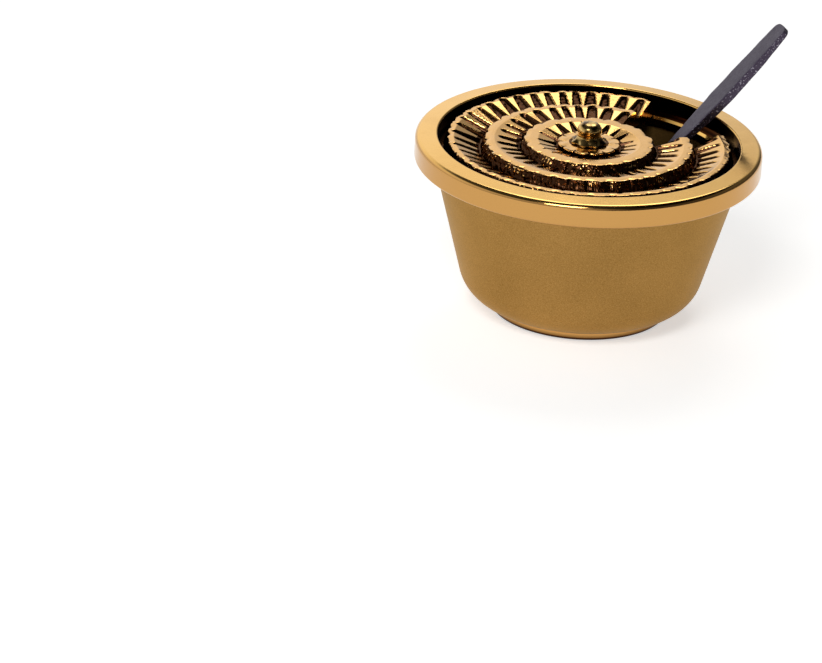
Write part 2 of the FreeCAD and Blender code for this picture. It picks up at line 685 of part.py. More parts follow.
lean = Rotation(Vector(0, 0, 1), math.degrees(bearing)) * Rotation(
    Vector(0, 1, 0), -math.degrees(elevation)
)
for piece in (spoon_handle, spoon_bowl):
    piece.Placement = Placement(dish_middle, lean)
doc.recompute()

for item in doc.Objects:
    if "Invalid" in item.State or "Error" in item.State:
        raise RuntimeError(f"{item.Name} failed: {item.State}")

os.makedirs("parts", exist_ok=True)
for piece in doc.findObjects("PartDesign::Body"):
    shape = piece.Shape
    if shape.isNull() or not shape.isValid() or len(shape.Solids) != 1:
        raise RuntimeError(f"{piece.Label} is not one valid solid")
    shape.exportStep(f"parts/{piece.Label}.step")
    print(f"{piece.Label}: {shape.Volume:.1f} mm3, {len(shape.Faces)} faces")
print("spoon's dish middle", [round(value, 3) for value in dish_middle])
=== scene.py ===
import math

import bpy
import numpy as np
from mathutils import Matrix, Vector


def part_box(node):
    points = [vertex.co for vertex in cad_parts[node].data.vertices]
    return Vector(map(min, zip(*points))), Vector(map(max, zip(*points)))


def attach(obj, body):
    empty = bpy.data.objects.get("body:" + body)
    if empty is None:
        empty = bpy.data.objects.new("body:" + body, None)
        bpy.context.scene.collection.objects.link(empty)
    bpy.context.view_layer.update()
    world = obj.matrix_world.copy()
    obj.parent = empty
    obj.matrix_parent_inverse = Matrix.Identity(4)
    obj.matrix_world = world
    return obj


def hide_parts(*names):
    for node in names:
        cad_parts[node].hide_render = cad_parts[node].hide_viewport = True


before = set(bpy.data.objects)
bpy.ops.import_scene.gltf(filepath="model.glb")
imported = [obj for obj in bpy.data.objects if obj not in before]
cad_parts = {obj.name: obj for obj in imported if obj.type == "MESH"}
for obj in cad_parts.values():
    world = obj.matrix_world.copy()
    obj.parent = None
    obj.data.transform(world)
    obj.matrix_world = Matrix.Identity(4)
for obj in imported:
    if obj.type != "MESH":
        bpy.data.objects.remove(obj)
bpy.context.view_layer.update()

# Camera: a long lens 1.86 m from the boat, a little left of its axis, looking down
# 23 degrees and tilted 3 degrees, as the boat stands in the photograph.
camera_place = Vector((-0.0490, -1.7081, 0.7268))
camera_down = math.radians(23.372)
camera_tilt = math.radians(3.148)
film_width = 36.0
lens_length = 274.4

level_right = Vector((1, 0, 0))
level_up = Vector((0, math.sin(camera_down), math.cos(camera_down)))
camera_back = Vector((0, -math.cos(camera_down), math.sin(camera_down)))
camera_right = level_right * math.cos(camera_tilt) + level_up * math.sin(camera_tilt)
camera_up = level_up * math.cos(camera_tilt) - level_right * math.sin(camera_tilt)
camera_data = bpy.data.cameras.new("camera")
camera_data.lens = lens_length
camera_data.sensor_width = film_width
camera_data.clip_start = 0.05
camera_data.clip_end = 30
camera = bpy.data.objects.new("camera", camera_data)
turn = Matrix((camera_right, camera_up, camera_back)).transposed()
camera.matrix_world = Matrix.Translation(camera_place) @ turn.to_4x4()
bpy.context.scene.collection.objects.link(camera)
bpy.context.scene.camera = camera
bpy.context.scene.view_settings.view_transform = "Standard"


# Studio: a wide white matt floor under two soft lamps. The dome is pale towards its
# horizon and dark overhead and at the right, which gives polished metal its bands.
def linear(colour):
    """sRGB hex to linear RGBA: c / 12.92 below 0.04045, else ((c + 0.055) / 1.055) ** 2.4."""
    parts = [int(colour[place:place + 2], 16) / 255 for place in (1, 3, 5)]
    return [c / 12.92 if c <= 0.04045 else ((c + 0.055) / 1.055) ** 2.4 for c in parts] + [1.0]


def add_node(tree, kind, settings=None, links=None):
    """One node; settings are its inputs or properties, links its inputs' sources."""
    node = tree.nodes.new(kind)
    for key, value in (settings or {}).items():
        if isinstance(key, int) or key in node.inputs:
            node.inputs[key].default_value = value
        else:
            setattr(node, key, value)
    for key, source in (links or {}).items():
        tree.links.new(source, node.inputs[key])
    return node


def new_finish(name, settings):
    """Material with one Principled shader; returns the material, its tree and the shader."""
    material = bpy.data.materials.new(name)
    material.use_nodes = True
    tree = material.node_tree
    tree.nodes.clear()
    shader = add_node(tree, "ShaderNodeBsdfPrincipled", settings)
    add_node(tree, "ShaderNodeOutputMaterial", links={"Surface": shader.outputs[0]})
    return material, tree, shader


floor_half = 4.0
floor_colour = "#F8F8F6"
floor_glow = 0.56  # the lift that brings the lit floor up to plain white
floor_mesh = bpy.data.meshes.new("floor")
corners = [(-1, -1), (1, -1), (1, 1), (-1, 1)]
floor_mesh.from_pydata([(x * floor_half, y * floor_half, 0) for x, y in corners], [], [(0, 1, 2, 3)])
floor = bpy.data.objects.new("floor", floor_mesh)
bpy.context.scene.collection.objects.link(floor)
matt_white, tree, shader = new_finish("matt_white_paper", {
    "Base Color": linear(floor_colour), "Roughness": 0.9, "Specular IOR Level": 0.1,
    "Emission Color": linear("#FFFFFF"),
})
ray = add_node(tree, "ShaderNodeLightPath")
seen = add_node(tree, "ShaderNodeMath", {"operation": "MAXIMUM"}, {
    0: ray.outputs["Is Camera Ray"], 1: ray.outputs["Is Glossy Ray"],
})
seen = add_node(tree, "ShaderNodeMath", {"operation": "MAXIMUM"}, {
    0: seen.outputs[0], 1: ray.outputs["Is Transmission Ray"],
})
glow = add_node(tree, "ShaderNodeMath", {"operation": "MULTIPLY", 1: floor_glow}, {0: seen.outputs[0]})
tree.links.new(glow.outputs[0], shader.inputs["Emission Strength"])
floor_mesh.materials.append(matt_white)

world = bpy.data.worlds.new("studio")
bpy.context.scene.world = world
world.use_nodes = True
sky = world.node_tree
sky.nodes.clear()
direction = add_node(sky, "ShaderNodeTexCoord")
parts = add_node(sky, "ShaderNodeSeparateXYZ", links={0: direction.outputs["Generated"]})
dome = add_node(sky, "ShaderNodeValToRGB", links={0: parts.outputs["Z"]})
dome_levels = [  # height on the dome, from horizon to top, and brightness
    (0.0, 0.80), (0.28, 0.98), (0.42, 0.96), (0.57, 0.80), (0.63, 0.26), (0.70, 0.05), (1.0, 0.04),
]
ramp = dome.color_ramp
ramp.elements[0].position, ramp.elements[1].position = dome_levels[0][0], dome_levels[-1][0]
for position, _ in dome_levels[1:-1]:
    ramp.elements.new(position)
for element, (_, level) in zip(ramp.elements, dome_levels):
    element.color = (level, level, level, 1)
front = add_node(sky, "ShaderNodeMapRange", {
    "From Min": -0.75, "From Max": 0.1, "To Min": 0.55, "To Max": 1.0,
}, {0: parts.outputs["Y"]})
right = add_node(sky, "ShaderNodeMapRange", {
    "From Min": -0.02, "From Max": 0.42, "To Min": 1.0, "To Max": 0.1,
}, {0: parts.outputs["X"]})
shade = add_node(sky, "ShaderNodeMath", {"operation": "MULTIPLY"}, {
    0: front.outputs[0], 1: right.outputs[0],
})
dome_colour = add_node(sky, "ShaderNodeMix", {
    "data_type": "RGBA", "blend_type": "MULTIPLY", 0: 1.0,
}, {6: dome.outputs[0], 7: shade.outputs[0]})
backdrop = add_node(sky, "ShaderNodeBackground", {"Strength": 1.0}, {0: dome_colour.outputs[2]})
add_node(sky, "ShaderNodeOutputWorld", links={0: backdrop.outputs[0]})


boat_middle = Vector((0, 0, 0.04))


def add_lamp(name, place, size, watts):
    """Square soft lamp that points at the boat's middle."""
    data = bpy.data.lights.new(name, "AREA")
    data.size = size
    data.energy = watts
    lamp = bpy.data.objects.new(name, data)
    lamp.location = place
    lamp.rotation_euler = (Vector(place) - boat_middle).to_track_quat("Z", "Y").to_euler()
    bpy.context.scene.collection.objects.link(lamp)


add_lamp("key_lamp", (-0.35, -1.2, 1.3), 0.6, 11)
add_lamp("back_lamp", (0.15, 1.2, 1.5), 0.9, 6.5)

# Foot ring: a brass ring, turned, polished and gilt, soldered flat under the bowl. Its
# sides carry the bands' painted shade, and its lower edge a painted contact shadow.
mm = 0.001


def span(node):
    """Largest radius about Z, lowest and highest level of a round node, in mm."""
    low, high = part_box(node)
    return -low[0] / mm, low[2] / mm, high[2] / mm


def smooth(low, high, value):
    """Smooth step: 3 t^2 - 2 t^3 with t the value's share of the way from low to high."""
    t = np.clip((value - low) / (high - low), 0, 1)
    return t * t * (3 - 2 * t)


def rounded_outline(corners, steps=8):
    """Outline through (radius, height, rounding) corners, each corner an arc.

    The arc touches both runs at rounding * tan(turn / 2) from the corner. Each run keeps a
    point close to its ends, which holds its shading flat.
    """
    places = np.array([corner[:2] for corner in corners], float)
    outline = []
    for index, (_, _, rounding) in enumerate(corners):
        here = places[index]
        before = places[index - 1] - here
        after = places[(index + 1) % len(places)] - here
        before, after = before / np.linalg.norm(before), after / np.linalg.norm(after)
        turn = math.pi - math.acos(np.clip(before @ after, -1, 1))
        reach = rounding * math.tan(turn / 2)
        middle = (before + after) / np.linalg.norm(before + after)
        centre = here + middle * rounding / math.cos(turn / 2)
        first, last = here + before * reach, here + after * reach
        hold = 0.12
        blend = np.linspace(0, 1, steps)[:, None]
        chord = first + (last - first) * blend - centre
        arc = centre + chord / np.linalg.norm(chord, axis=1)[:, None] * rounding
        outline += [first + before * hold, *arc, last + after * hold]
    return np.array(outline)


def carried_round(outline, columns):
    """Outline carried once round Z: x = r cos a, y = r sin a, z = h, as rows by columns."""
    angle = np.linspace(0, 2 * math.pi, columns, endpoint=False)
    radius, height = outline[:, 0, None], outline[:, 1, None]
    return np.stack([radius * np.cos(angle), radius * np.sin(angle), height + 0 * angle], axis=-1)


def quads(index):
    """Faces between neighbours of an index grid."""
    sides = [index[:-1, :-1], index[:-1, 1:], index[1:, 1:], index[1:, :-1]]
    return np.stack(sides, axis=-1).reshape(-1, 4)


def ring_faces(rows, columns):
    """Faces of a grid that is closed both along its outline and round Z."""
    index = np.arange(rows * columns).reshape(rows, columns)
    index = np.vstack([index, index[:1]])
    return [quads(np.hstack([index, index[:, :1]]))]


def capped_faces(rows, columns):
    """Faces of a grid closed round Z, whose first and last rows are each one point."""
    index = np.arange(rows * columns).reshape(rows, columns)
    index = np.hstack([index, index[:, :1]])
    index[0], index[-1] = index[0, 0], index[-1, 0]
    faces = quads(index).reshape(rows - 1, columns, 4)
    return [faces[1:-1].reshape(-1, 4), faces[0][:, [0, 2, 3]], faces[-1][:, [0, 1, 2]]]


def make_piece(name, points, faces, body, material, patina_and_painted_light=None):
    """Piece in metres from points in mm: unused points go, and faces turn outwards.

    The sum of p0 . (p1 x p2) / 6 over the faces' triangles is the enclosed volume, so a
    negative sum means that the faces look inwards.
    """
    points = points.reshape(-1, 3)
    volume = 0.0
    for group in faces:
        for corner in range(1, group.shape[1] - 1):
            second, third = points[group[:, corner]], points[group[:, corner + 1]]
            volume += np.einsum("ij,ij->", points[group[:, 0]], np.cross(second, third))
    if volume < 0:
        faces = [group[:, ::-1] for group in faces]
    used = np.unique(np.concatenate([group.ravel() for group in faces]))
    renumbered = np.zeros(len(points), int)
    renumbered[used] = np.arange(len(used))
    mesh = bpy.data.meshes.new(name)
    listed = [face for group in faces for face in renumbered[group].tolist()]
    mesh.from_pydata((points[used] * mm).tolist(), [], listed)
    # The layer holds patina, painted shade and painted highlights, as each piece sets it.
    if patina_and_painted_light is not None:
        layer = mesh.attributes.new("patina_and_painted_light", "FLOAT", "POINT")
        layer.data.foreach_set("value", patina_and_painted_light.ravel()[used].astype(np.float32))
    mesh.shade_smooth()
    sharp_edge = 38  # degrees
    mesh.set_sharp_from_angle(angle=math.radians(sharp_edge))
    mesh.materials.append(material)
    piece = bpy.data.objects.new(name, mesh)
    bpy.context.scene.collection.objects.link(piece)
    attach(piece, body)
    return piece


# Polished gilt brass: a mirror with soft buffing haze, so it shows the room as warm gold
# bands with faint wipe marks. Its layer paints shade in: 0.5 is the painted shade of the
# upright bands, 1 the deep painted shade in the bore and on the foot's lower edge.
gold_colour = "#FAC66E"
cloud_gold_colour = "#E0AA54"
band_shade_colour = "#C49455"
deep_shade_colour = "#3A1E0C"
polished_gilt, tree, shader = new_finish("polished_gilt_brass", {"Metallic": 1.0, "Roughness": 0.12})
place = add_node(tree, "ShaderNodeTexCoord")
cloud_size = 14  # mm
cloud = add_node(tree, "ShaderNodeTexNoise", {
    "Scale": 1 / (cloud_size * mm), "Detail": 4, "Roughness": 0.6,
}, {"Vector": place.outputs["Object"]})
tone = add_node(tree, "ShaderNodeMix", {
    "data_type": "RGBA", 6: linear(gold_colour), 7: linear(cloud_gold_colour),
}, {0: add_node(tree, "ShaderNodeMapRange", {
    "From Min": 0.45, "From Max": 0.8, "To Min": 0.0, "To Max": 0.55,
}, {0: cloud.outputs[0]}).outputs[0]})
tone_layer = add_node(tree, "ShaderNodeAttribute", {"attribute_name": "patina_and_painted_light"})
# Painted shade of the upright bands, as the layer rises to 0.5.
band_shade = add_node(tree, "ShaderNodeMapRange", {"From Max": 0.5}, {0: tone_layer.outputs["Fac"]})
tone = add_node(tree, "ShaderNodeMix", {"data_type": "RGBA", 7: linear(band_shade_colour)}, {
    0: band_shade.outputs[0], 6: tone.outputs[2],
})
# Deep painted shade in brown, as the layer rises from 0.55 to 0.9.
deep_shade = add_node(tree, "ShaderNodeMapRange", {"From Min": 0.55, "From Max": 0.9}, {
    0: tone_layer.outputs["Fac"],
})
tone = add_node(tree, "ShaderNodeMix", {"data_type": "RGBA", 7: linear(deep_shade_colour)}, {
    0: deep_shade.outputs[0], 6: tone.outputs[2],
})
haze = add_node(tree, "ShaderNodeMapRange", {
    "From Min": 0.3, "From Max": 0.7, "To Min": 0.07, "To Max": 0.17,
}, {0: cloud.outputs[0]})
ripple_size = 5  # mm, the slight waviness that buffing leaves
ripple = add_node(tree, "ShaderNodeTexNoise", {
    "Scale": 1 / (ripple_size * mm), "Detail": 2,
}, {"Vector": place.outputs["Object"]})
buffed = add_node(tree, "ShaderNodeBump", {"Strength": 0.12, "Distance": 0.3 * mm}, {
    "Height": ripple.outputs[0],
})
tree.links.new(tone.outputs[2], shader.inputs["Base Color"])
tree.links.new(haze.outputs[0], shader.inputs["Roughness"])
tree.links.new(buffed.outputs[0], shader.inputs["Normal"])

foot_width, foot_rounding = 4.6, 0.9
# Painted contact shadow: the foot darkens from 1.5 mm down to 0.7 mm above the ground.
contact_shadow_top, contact_shadow_full = 1.5, 0.7  # mm above the ground
foot_radius, _, foot_top = span("foot_ring")
foot_inner = foot_radius - foot_width
foot_outline = rounded_outline([
    (foot_inner, 0, 0.3), (foot_radius, 0, foot_rounding),
    (foot_radius, foot_top, 0.2), (foot_inner, foot_top, 0.2),
])
foot_points = carried_round(foot_outline, 256)
foot_piece = make_piece(
    "foot_ring_turned", foot_points, ring_faces(*foot_points.shape[:2]), "boat",
    polished_gilt, patina_and_painted_light=0.5 + 0.4 * smooth(contact_shadow_top, contact_shadow_full, foot_points[..., 2]),
)
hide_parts("foot_ring")

# Bowl: spun brass, gilt and bead blasted. A straight cone runs into a flat bottom by a
# large rounding; the wall is 1.6 mm thick and the inside has the same finish.
bowl_wall, bowl_floor, bowl_round, bowl_taper = 1.6, 2.0, 11.8, 0.275
bowl_top, bowl_base_level, bowl_top_level = span("bowl_shell")
bowl_base = bowl_top - bowl_taper * (bowl_top_level - bowl_base_level)
cavity_level = bowl_base_level + bowl_floor
cavity_top = bowl_top - bowl_wall
cavity_base = cavity_top - bowl_taper * (bowl_top_level - cavity_level)
bowl_outline = rounded_outline([
    (0.5, bowl_base_level, 0.1),
    (bowl_base, bowl_base_level, bowl_round),
    (bowl_top, bowl_top_level, 0.15),
    (cavity_top, bowl_top_level, 0.15),
    (cavity_base, cavity_level, bowl_round - bowl_wall),
    (0.5, cavity_level, 0.1),
], steps=20)

# Bead-blasted gilt brass: tiny even dents scatter the light, so the gold looks soft and
# darker, with a fine grain.
satin_light, satin_deep = "#BC9152", "#815F2B"
satin_gilt, tree, shader = new_finish("bead_blasted_gilt_brass", {
    "Metallic": 1.0, "Roughness": 0.42, "Specular Tint": linear("#F6E8D0"),
})
place = add_node(tree, "ShaderNodeTexCoord")
dent_size = 0.32  # mm; real dents are 0.15 mm, drawn coarser so that they show
patch_size = 18  # mm, the slow change of tone along the wall
dents = add_node(tree, "ShaderNodeTexNoise", {
    "Scale": 1 / (dent_size * mm), "Detail": 2, "Roughness": 0.7,
}, {"Vector": place.outputs["Object"]})
patches = add_node(tree, "ShaderNodeTexNoise", {
    "Scale": 1 / (patch_size * mm), "Detail": 3,
}, {"Vector": place.outputs["Object"]})
speck = add_node(tree, "ShaderNodeMath", {"operation": "MULTIPLY_ADD", 1: 1.5, 2: -0.45}, {
    0: dents.outputs[0],
})
share = add_node(tree, "ShaderNodeMath", {"operation": "MULTIPLY_ADD", 1: 0.4}, {
    0: patches.outputs[0], 2: speck.outputs[0],
})
tone = add_node(tree, "ShaderNodeMix", {
    "data_type": "RGBA", 6: linear(satin_light), 7: linear(satin_deep),
}, {0: share.outputs[0]})
blasted = add_node(tree, "ShaderNodeBump", {"Strength": 0.35, "Distance": 0.1 * mm}, {
    "Height": dents.outputs[0],
})
tree.links.new(tone.outputs[2], shader.inputs["Base Color"])
tree.links.new(blasted.outputs[0], shader.inputs["Normal"])

bowl_path = np.vstack([[[0.0, bowl_base_level]], bowl_outline, [[0.0, cavity_level]]])
bowl_points = carried_round(bowl_path, 320)
bowl_piece = make_piece(
    "bowl_spun", bowl_points, capped_faces(*bowl_points.shape[:2]), "boat", satin_gilt
)
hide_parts("bowl_shell")

# Collar: cast and turned brass, polished and gilt. Its band stands out beyond the bowl,
# its top face falls outwards, and its bore holds the lid on a ledge.
collar_fall, face_width, ledge_inset = 0.6, 6.6, 9.0
chamfer_in, chamfer_down = 0.55, 0.78  # the ledge's inner edge, worn by the lid
solder_gap = 0.15
rim_radius, spigot_level, mouth_top = span("rim_collar")
mouth_radius, ledge_radius = rim_radius - face_width, rim_radius - ledge_inset
collar_bottom = bowl_top_level
ledge_level = span("lid_plate")[1]
spigot_top = cavity_top - solder_gap
spigot_base = spigot_top - bowl_taper * (collar_bottom - spigot_level)
collar_outline = rounded_outline([
    (ledge_radius, spigot_level, 0.2),
    (spigot_base, spigot_level, 0.2),
    (spigot_top, collar_bottom, 0.05),
    (rim_radius, collar_bottom, 0.7),
    (rim_radius, mouth_top - collar_fall, 1.5),
    (mouth_radius, mouth_top, 0.5),
    (mouth_radius, ledge_level, 0.1),
    (ledge_radius + chamfer_in, ledge_level, 0.1),
    (ledge_radius, ledge_level - chamfer_down, 0.1),
], steps=12)
collar_points = carried_round(collar_outline, 720)
worn_width, worn_depth = 0.8, 0.9  # mm round the chamfer that the lid has rubbed bright
# Painted shade: the band is painted the darker band gold (0.5), the bore deep brown above the ledge
# (1.0) and a little lighter below it (0.78); the worn chamfer stays gold.
band_tone, throat_tone, bore_tone = 0.5, 0.78, 1.0
collar_r, collar_z = collar_outline.T
on_band = smooth(rim_radius - 1.2, rim_radius - 0.2, collar_r) * smooth(0.4, 1.4, mouth_top - collar_z)
in_bore = (collar_r < mouth_radius + 0.1) & (collar_z < mouth_top - 0.45)
wear_and_painted_glint = (np.abs(collar_z - ledge_level) < worn_depth) & (collar_r < ledge_radius + worn_width)
bore_shade = np.where(collar_z < ledge_level - worn_depth, throat_tone, bore_tone)
collar_tone = np.where(in_bore, np.where(wear_and_painted_glint, 0.0, bore_shade), band_tone * on_band)
collar_piece = make_piece(
    "collar_turned", collar_points, ring_faces(*collar_points.shape[:2]), "boat",
    polished_gilt, patina_and_painted_light=collar_tone[:, None] + 0 * collar_points[..., 0],
)
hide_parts("rim_collar")

# Lid, outer tier: cast brass with a flange on the collar's ledge, polished on its ridges
# and left dark in its flutes. One wedge is left open for the spoon.
hole_radius = 2.25
opening_start, opening_angle = math.radians(15.8), math.radians(46.5)


def unevenness(points, wavelength, seed):
    """Smooth irregular height from -1 to 1: the mean of plane waves cos(2 pi d.p / w + s).

    Each wave has a random direction d and shift s and a length w near the wavelength.
    """
    dice = np.random.default_rng(seed)
    total = np.zeros(points.shape[:-1])
    waves = 9
    for _ in range(waves):
        way = dice.normal(size=3)
        way /= np.linalg.norm(way)
        length = wavelength * dice.uniform(0.7, 1.5)
        total += np.cos(2 * math.pi * (points @ way) / length + dice.uniform(0, 2 * math.pi))
    return total / math.sqrt(waves) / 1.5


def run(start, end, count, ends=False):
    """Points in a straight run from start, without its end unless asked for."""
    return np.linspace(start, end, count, endpoint=ends)


def lid_casting(name, node, base, seat, step, inner_level, band, crest, crest_level, foot,
                count, flute, plain, columns, flange=None, opening=None):
    """Fluted lid casting: an outline of rows carried round Z, then pressed into relief.

    A flute is a tapered groove from the step outwards: its depth is D * smooth(w - |u|),
    with u the distance from its middle line and w its half width there. Between two flutes
    the crest's edge is drawn in by s |u|^2.6, which leaves lobes, and the wall below keeps
    the lobes as pleats that fade downwards. flute holds w at the step and at the outer end,
    D and s. plain holds b, c and d of the crest's plain band, whose width at the bearing a
    is b + c cos a - d sin^2 a, the last term on the far half only. flange holds the radius
    and the upper level of the flange, and opening the radius where the open wedge starts.
    """
    half_in, half_out, depth, lobes = flute
    face_pitch, band_pitch = 0.22, 0.3  # mm between rows
    face_rows = max(18, int((band - step) / face_pitch))
    band_rows = max(8, int((crest - band) / band_pitch))
    edge, bevel = 0.45, 0.2
    turn = np.linspace(0, math.pi / 2, 6)
    rows = [np.array([[hole_radius, base], [hole_radius, seat]])]
    if opening:
        rows.append(np.array([[opening, seat]]))
    rows.append(np.array([[step, seat]]))
    top_row = sum(len(part) for part in rows) - 2 if opening else 0
    rows.append(run([step, inner_level], [band, crest_level], face_rows))
    face_start = sum(len(part) for part in rows) - face_rows
    rows.append(run([band, crest_level], [crest - edge, crest_level], band_rows))
    edge_start = sum(len(part) for part in rows)
    rows.append(np.stack([
        crest - edge + edge * np.sin(turn), crest_level - edge + edge * np.cos(turn),
    ], -1))
    wall_start = sum(len(part) for part in rows)
    foot_level = flange[1] if flange else base
    wall_rows = 12
    rows.append(run([crest, crest_level - edge - 0.1], [foot, foot_level], wall_rows, True))
    wall_end = sum(len(part) for part in rows)
    if flange:
        rows.append(np.array([[flange[0] - bevel, foot_level], [flange[0], foot_level - bevel]]))
        rows.append(np.array([[flange[0], base + bevel], [flange[0] - bevel, base]]))
    under_row = sum(len(part) for part in rows)
    if opening:
        rows.append(np.array([[opening, base]]))
    outline = np.vstack(rows)

    if opening:
        closed = np.linspace(opening_start + opening_angle, opening_start + 2 * math.pi, columns)
        gap_columns = 42
        gap = np.linspace(opening_start, opening_start + opening_angle, gap_columns)[1:-1]
        angle = np.concatenate([closed, gap])
    else:
        angle = np.linspace(0, 2 * math.pi, columns, endpoint=False)
    radius = outline[:, 0, None] + 0 * angle
    height = outline[:, 1, None] + 0 * angle
    theta = angle + 0 * radius

    dice = np.random.default_rng(count)
    pitch = 2 * math.pi / count
    drift = 0.16 * pitch * (np.sin(3 * angle + 1.3) + 0.7 * np.sin(7 * angle + 0.4))
    turns = (angle - opening_start + drift) / pitch
    number = np.round(turns).astype(int)
    off = turns - number
    which = number % count
    wide_spread, reach_spread, deep_spread, slant_spread = 0.16, 0.55, 0.2, 0.05
    wide = 1 + wide_spread * dice.uniform(-1, 1, count)[which]
    reach = reach_spread * dice.uniform(-1, 1, count)[which]
    deep = 1 + deep_spread * dice.uniform(-1, 1, count)[which]
    slant = slant_spread * dice.uniform(-1, 1, count)[which]

    mean_band, more_right, less_back = plain
    backward = np.clip(np.sin(angle), 0, None) ** 2
    own_band = mean_band + more_right * np.cos(angle) - less_back * backward
    bluntness = 0.6  # of a flute's outer end: 1 is a half circle, less is more pointed
    tip = crest - own_band + reach - half_out / bluntness
    along = np.clip((radius - step) / (tip - step), 0, 1)
    fuller = 1 + 0.12 * backward - 0.1 * np.abs(np.cos(angle))
    half = (half_in + (half_out - half_in) * along) * wide * fuller
    aside = np.abs(radius * off * pitch + slant * (radius - step))
    past = np.clip(radius - tip, 0, None)
    inside = half - np.hypot(aside, bluntness * past)
    hollow = smooth(-0.12, 0.6, inside) * deep
    row_number = np.arange(len(outline))[:, None]
    on_face = (row_number >= face_start) & (row_number < edge_start)
    hollow = np.where(on_face, hollow, 0)

    step_gap = radius - step
    on_edge = smooth(crest - 2.4, crest, radius) * (row_number >= face_start)
    down = np.clip((row_number - wall_start) / (wall_rows - 1), 0, 1)
    on_wall = (row_number >= edge_start) & (row_number < wall_end)
    crest_edge = np.stack([crest * np.cos(angle), crest * np.sin(angle), 0 * angle], -1)
    bay_size, pleat_fade, droop = 4.5, 0.55, 0.3
    bay = unevenness(crest_edge, bay_size, count + 4)
    drawn = lobes * np.abs(2 * off) ** 2.6 + 0.5 * lobes * (1 + bay)
    lobed = (row_number >= face_start) & (row_number < wall_end)
    radius = radius - np.where(lobed, drawn * on_edge * (1 - pleat_fade * down), 0)
    height = height - depth * hollow - droop * drawn * on_edge * (row_number < wall_start)

    points = np.stack([radius * np.cos(theta), radius * np.sin(theta), height], -1)
    cast_size, lump_size, fine_size = 7.0, 1.6, 0.8  # mm across a wave of the cast surface
    cast = unevenness(points, cast_size, count + 1)
    lumps = unevenness(points, lump_size, count + 2)
    fine = unevenness(points, fine_size, count + 3)
    worked = (row_number >= face_start) & (row_number < wall_start)
    in_flute = np.clip(hollow, 0, 1)
    height = height + np.where(worked, 0.03 * cast - 0.04 + 0.045 * in_flute * (lumps + 0.4 * fine), 0)
    rough = (0.17 * lumps + 0.07 * fine) * smooth(0, 0.15, down + 0.1) * (1 - smooth(0.9, 1.0, down))
    radius = radius - 0.18 * on_wall * (1 - down) + np.where(on_wall, rough, 0)
    points = np.stack([radius * np.cos(theta), radius * np.sin(theta), height], -1)

    # The layer is dark in the flutes and between the lobes, where the casting keeps its patina,
    # darker by the step and dark over the seat, flange and underside. Along the outer tier's
    # edge it paints a line of shade, and on the upper wall painted highlights (below 0) glint cream.
    near_step = 1 - smooth(0.25, 1.5 + 0.5 * cast, step_gap)
    notch = smooth(0.72, 0.97, np.abs(2 * off)) * smooth(crest - 1.1, crest - 0.2, step_gap + step)
    # Painted shade: a dark line along the outer tier's edge stands in for the moat's shadow.
    painted_edge_shade = 0.62 * smooth(crest - 0.75, crest - 0.35, step_gap + step) * bool(flange)
    dark = np.maximum.reduce([smooth(0.05, 0.36, hollow), near_step, notch, painted_edge_shade + 0 * hollow])
    # Painted highlights: small spots on the upper wall pushed below 0, which the material turns cream.
    painted_glint = smooth(0.45, 0.9, fine + 0.35 * lumps) * smooth(-0.2, 0.6, cast)
    edge_turned = np.clip((row_number - edge_start) / (wall_start - edge_start), 0, 1)
    wall_dark = smooth(0.1, 0.5, edge_turned) - 1.7 * painted_glint * (1 - smooth(0.35, 0.7, down))
    dark = np.where(on_wall, wall_dark, dark)
    dark = np.where((row_number < face_start) | (row_number >= wall_end), 1.0, dark)

    if not opening:
        faces = ring_faces(*points.shape[:2])
    else:
        index = np.arange(points.shape[0] * points.shape[1]).reshape(points.shape[:2])
        solid = index[:, :columns]
        bridge = np.hstack([index[:, columns - 1:], index[:, :1]])
        inner_rows = np.concatenate([np.arange(under_row, len(outline)), np.arange(0, top_row + 1)])
        faces = [
            quads(np.vstack([solid, solid[:1]])),
            quads(bridge[inner_rows]),
            quads(bridge[[top_row, under_row]]),
            index[top_row:under_row + 1, 0][None],
            index[top_row:under_row + 1, columns - 1][None, ::-1],
        ]
    piece = make_piece(name, points, faces, "lid", antiqued_brass, patina_and_painted_light=dark)
    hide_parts(node)


# Antiqued cast brass: gold where the wheel polished it, brown-black lacquer where it lies
# deep, the same dark as painted shade at the outer tier's edge, and painted cream highlights.
crest_colour = "#F0BA6C"
patina_colour = "#1C0C05"
patina_glow = "#4A2A0F"
# Cream of the painted highlights.
painted_glint_colour = "#FFE6B4"
low_view_colour = "#E7D2C3"  # keeps the lacquer brown where it is seen at a low angle
antiqued_brass, tree, shader = new_finish("antiqued_cast_brass", {
    "Metallic": 1.0, "Coat Weight": 0.1, "Coat Roughness": 0.08,
})
place = add_node(tree, "ShaderNodeTexCoord")
layer = add_node(tree, "ShaderNodeAttribute", {"attribute_name": "patina_and_painted_light"})
grit_size = 0.9  # mm
grit = add_node(tree, "ShaderNodeTexNoise", {
    "Scale": 1 / (grit_size * mm), "Detail": 3, "Roughness": 0.65,
}, {"Vector": place.outputs["Object"]})
ragged = add_node(tree, "ShaderNodeMath", {"operation": "MULTIPLY_ADD", 1: 0.5, 2: -0.25}, {
    0: grit.outputs[0],
})
# The layer with ragged noise: patina and painted shade above 0.4, painted highlights below -0.3.
ragged_patina_and_light = add_node(tree, "ShaderNodeMath", {"operation": "ADD"}, {
    0: layer.outputs["Fac"], 1: ragged.outputs[0],
})
dark = add_node(tree, "ShaderNodeMapRange", {
    "From Min": 0.4, "From Max": 0.6, "interpolation_type": "SMOOTHSTEP",
}, {0: ragged_patina_and_light.outputs[0]})
# Brown-black of the patina, also used for the painted shade.
patina_and_shade_tone = add_node(tree, "ShaderNodeMix", {
    "data_type": "RGBA", 6: linear(patina_colour), 7: linear(patina_glow),
}, {0: grit.outputs[0]})
tone = add_node(tree, "ShaderNodeMix", {"data_type": "RGBA", 6: linear(crest_colour)}, {
    0: dark.outputs[0], 7: patina_and_shade_tone.outputs[2],
})
